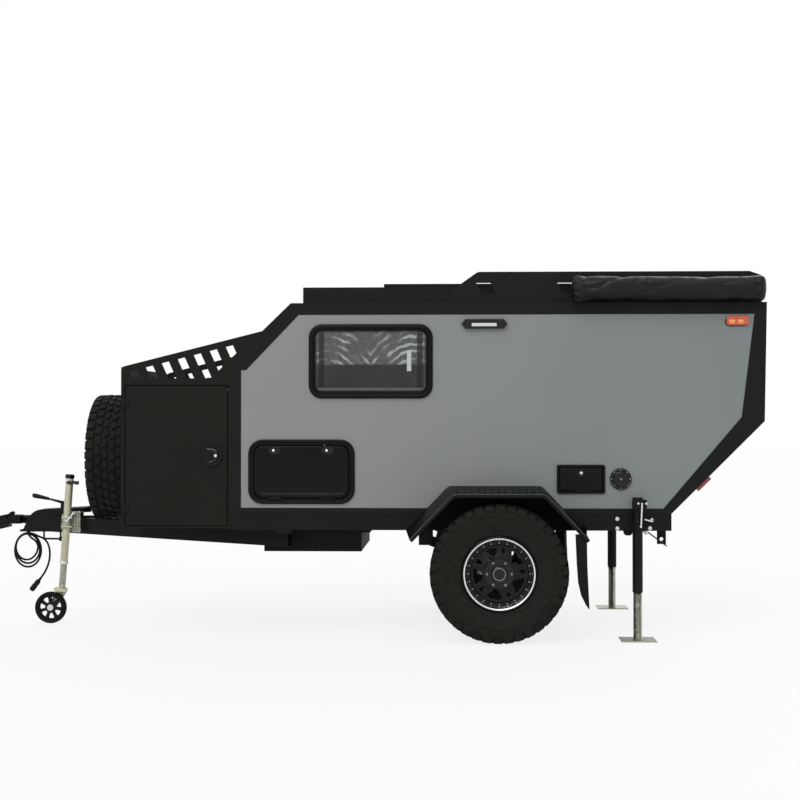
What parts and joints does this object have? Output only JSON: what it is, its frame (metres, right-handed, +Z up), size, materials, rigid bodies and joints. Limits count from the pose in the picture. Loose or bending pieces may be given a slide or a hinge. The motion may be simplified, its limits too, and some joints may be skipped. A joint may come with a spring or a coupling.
{
  "type": "off-road camper trailer",
  "caption": "Off-road camper trailer with a grey cabin, front storage box, spare wheel, pop-top roof, rear hatch, rolled awning, steadying legs and a jockey wheel jack.",
  "frame": {"origin": "on the floor under the middle of the trailer's length and width", "axes": "+X towards the rear, so that it is towed towards -X; +Y to the right-hand side as towed; +Z up"},
  "size_m": [4.8725, 2.08, 2.172],
  "materials": {
    "cabin_grey": "satin",
    "trim_black": "satin",
    "box_black": "matte textured",
    "chassis_black": "satin",
    "fender_black": "checker plate, satin",
    "frame_black": "satin",
    "plastic_black": "matte",
    "rubber_black": "matte",
    "lamp_black": "gloss",
    "amber_lens": "gloss",
    "red_lens": "gloss",
    "dark_acrylic": "gloss",
    "solar_glass": "gloss",
    "tyre": "matte",
    "alloy_black": "satin black",
    "zinc": "galvanised",
    "bag_black": "coated fabric",
    "fabric_grey": "woven",
    "cable_black": "matte"
  },
  "bodies": {
    "trailer": {"side_walls": "cabin_grey", "side_trims": "trim_black", "floor_panel": "trim_black", "front_wall": "cabin_grey", "rear_slope_wall": "trim_black", "roof_panel": "trim_black", "opening_frames": "frame_black", "window_pane_left": "dark_acrylic", "porch_light": "lamp_black", "side_markers": "amber_lens", "tail_lamps": "red_lens", "water_filler": "plastic_black", "storage_box": "box_black", "box_sides": "box_black", "chassis_frame": "chassis_black", "leg_mounts": "chassis_black", "drawbar": "chassis_black", "water_tank": "plastic_black", "suspension_arms": "chassis_black", "springs_and_dampers": "chassis_black", "fenders": "fender_black", "mud_flaps": "rubber_black", "awning_bag": "bag_black", "roof_plates": "trim_black", "handbrake_lever": "chassis_black", "jack_tube": "zinc", "jack_clamp": "zinc", "spare_carrier": "chassis_black", "tyre_spare": "tyre", "rim_spare": "alloy_black", "mattress": "fabric_grey", "cable": "cable_black", "cable_coil": "cable_black", "cable_plug": "plastic_black"},
    "wheel_left": {"tyre_left": "tyre", "rim_left": "alloy_black", "hub_left": "chassis_black"},
    "wheel_right": {"tyre_right": "tyre", "rim_right": "alloy_black", "hub_right": "chassis_black"},
    "jack_leg": {"jack_inner_tube": "zinc"},
    "jockey_swivel": {"jockey_fork": "zinc"},
    "jockey_roller": {"jockey_wheel": "rubber_black"},
    "rear_leg_left": {"leg_outer_left": "chassis_black"},
    "rear_leg_right": {"leg_outer_right": "chassis_black"},
    "leg_foot_left": {"leg_inner_left": "zinc"},
    "leg_foot_right": {"leg_inner_right": "zinc"},
    "poptop": {"poptop_lid": "trim_black", "solar_panel": "solar_glass"},
    "tailgate": {"rear_hatch": "cabin_grey"},
    "cabin_door": {"entry_door": "cabin_grey", "entry_pane": "dark_acrylic"},
    "locker_door_left": {"box_door_left": "box_black"},
    "locker_door_right": {"box_door_right": "box_black"},
    "luggage_flap": {"baggage_door": "frame_black"},
    "service_flap": {"service_hatch": "frame_black"},
    "hitch_yoke": {"coupling_yoke": "chassis_black"},
    "hitch_head": {"coupling_head": "chassis_black"}
  },
  "joints": [
    {"name": "wheel_left_spin", "type": "hinge", "parent": "trailer", "child": "wheel_left", "pos_m": [0.849, -0.905, 0.402], "axis": [0, 1, 0], "continuous": true},
    {"name": "wheel_right_spin", "type": "hinge", "parent": "trailer", "child": "wheel_right", "pos_m": [0.849, 0.905, 0.402], "axis": [0, 1, 0], "continuous": true},
    {"name": "jack_extend", "type": "slide", "parent": "trailer", "child": "jack_leg", "axis": [-0.068, 0, -0.9977], "range_m": [-0.145, 0.08]},
    {"name": "jockey_swivel_turn", "type": "hinge", "parent": "jack_leg", "child": "jockey_swivel", "pos_m": [-1.90615, -0.165, 0.09571], "axis": [0.068, 0, 0.9977], "continuous": true},
    {"name": "jockey_spin", "type": "hinge", "parent": "jockey_swivel", "child": "jockey_roller", "pos_m": [-1.969, -0.165, 0.1], "axis": [0, 1, 0], "continuous": true},
    {"name": "leg_swing_left", "type": "hinge", "parent": "trailer", "child": "rear_leg_left", "pos_m": [1.662, -0.8, 0.69], "axis": [0, -1, 0], "range_deg": [0, 90]},
    {"name": "leg_extend_left", "type": "slide", "parent": "rear_leg_left", "child": "leg_foot_left", "axis": [0, 0, -1], "range_m": [-0.15, 0.15]},
    {"name": "leg_swing_right", "type": "hinge", "parent": "trailer", "child": "rear_leg_right", "pos_m": [1.662, 0.8, 0.69], "axis": [0, -1, 0], "range_deg": [0, 90]},
    {"name": "leg_extend_right", "type": "slide", "parent": "rear_leg_right", "child": "leg_foot_right", "axis": [0, 0, -1], "range_m": [-0.15, 0.15]},
    {"name": "poptop_lift", "type": "hinge", "parent": "trailer", "child": "poptop", "pos_m": [2.295, 0, 1.995], "axis": [0, 1, 0], "range_deg": [0, 18]},
    {"name": "tailgate_lift", "type": "hinge", "parent": "trailer", "child": "tailgate", "pos_m": [2.435, 0, 1.978], "axis": [0, -1, 0], "range_deg": [0, 85]},
    {"name": "cabin_door_swing", "type": "hinge", "parent": "trailer", "child": "cabin_door", "pos_m": [-0.311, 0.754, 1.33], "axis": [0, 0, 1], "range_deg": [0, 110]},
    {"name": "locker_door_left_swing", "type": "hinge", "parent": "trailer", "child": "locker_door_left", "pos_m": [-1.38, -0.746, 1.076], "axis": [0, 0, -1], "range_deg": [0, 110]},
    {"name": "locker_door_right_swing", "type": "hinge", "parent": "trailer", "child": "locker_door_right", "pos_m": [-1.38, 0.746, 1.076], "axis": [0, 0, 1], "range_deg": [0, 110]},
    {"name": "luggage_flap_drop", "type": "hinge", "parent": "trailer", "child": "luggage_flap", "pos_m": [-0.319, -0.754, 0.82], "axis": [1, 0, 0], "range_deg": [0, 110]},
    {"name": "service_flap_drop", "type": "hinge", "parent": "trailer", "child": "service_flap", "pos_m": [1.336, -0.754, 0.867], "axis": [1, 0, 0], "range_deg": [0, 90]},
    {"name": "hitch_roll", "type": "hinge", "parent": "trailer", "child": "hitch_yoke", "pos_m": [-2.201, 0, 0.648], "axis": [1, 0, 0], "continuous": true},
    {"name": "hitch_pitch", "type": "hinge", "parent": "hitch_yoke", "child": "hitch_head", "pos_m": [-2.251, 0, 0.648], "axis": [0, 1, 0], "range_deg": [0, 40]}
  ]
}
